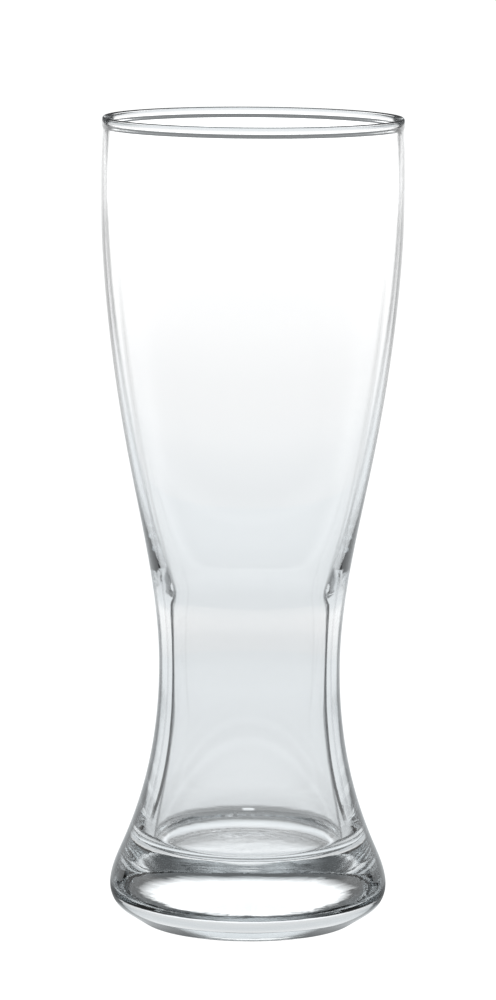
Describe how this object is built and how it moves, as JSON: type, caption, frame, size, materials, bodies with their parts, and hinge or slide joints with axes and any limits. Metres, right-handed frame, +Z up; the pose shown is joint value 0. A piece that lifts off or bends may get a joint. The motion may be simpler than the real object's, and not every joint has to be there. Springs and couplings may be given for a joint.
{
  "type": "wheat beer glass",
  "caption": "Tall clear wheat beer glass with a wide thin-walled bowl, narrow thick waist around a straight well, and a flared heavy foot, for serving beer.",
  "frame": {"origin": "centre of the ring that the glass stands on, at table level", "axes": "+Z up along the glass's axis of revolution; X and Y are free, because the glass is round"},
  "size_m": [0.0878, 0.0878, 0.235],
  "materials": {
    "clear_glass": "clear, fire-polished"
  },
  "bodies": {
    "root": {"rim": "clear_glass", "bowl": "clear_glass", "waist": "clear_glass", "foot": "clear_glass"}
  },
  "joints": []
}
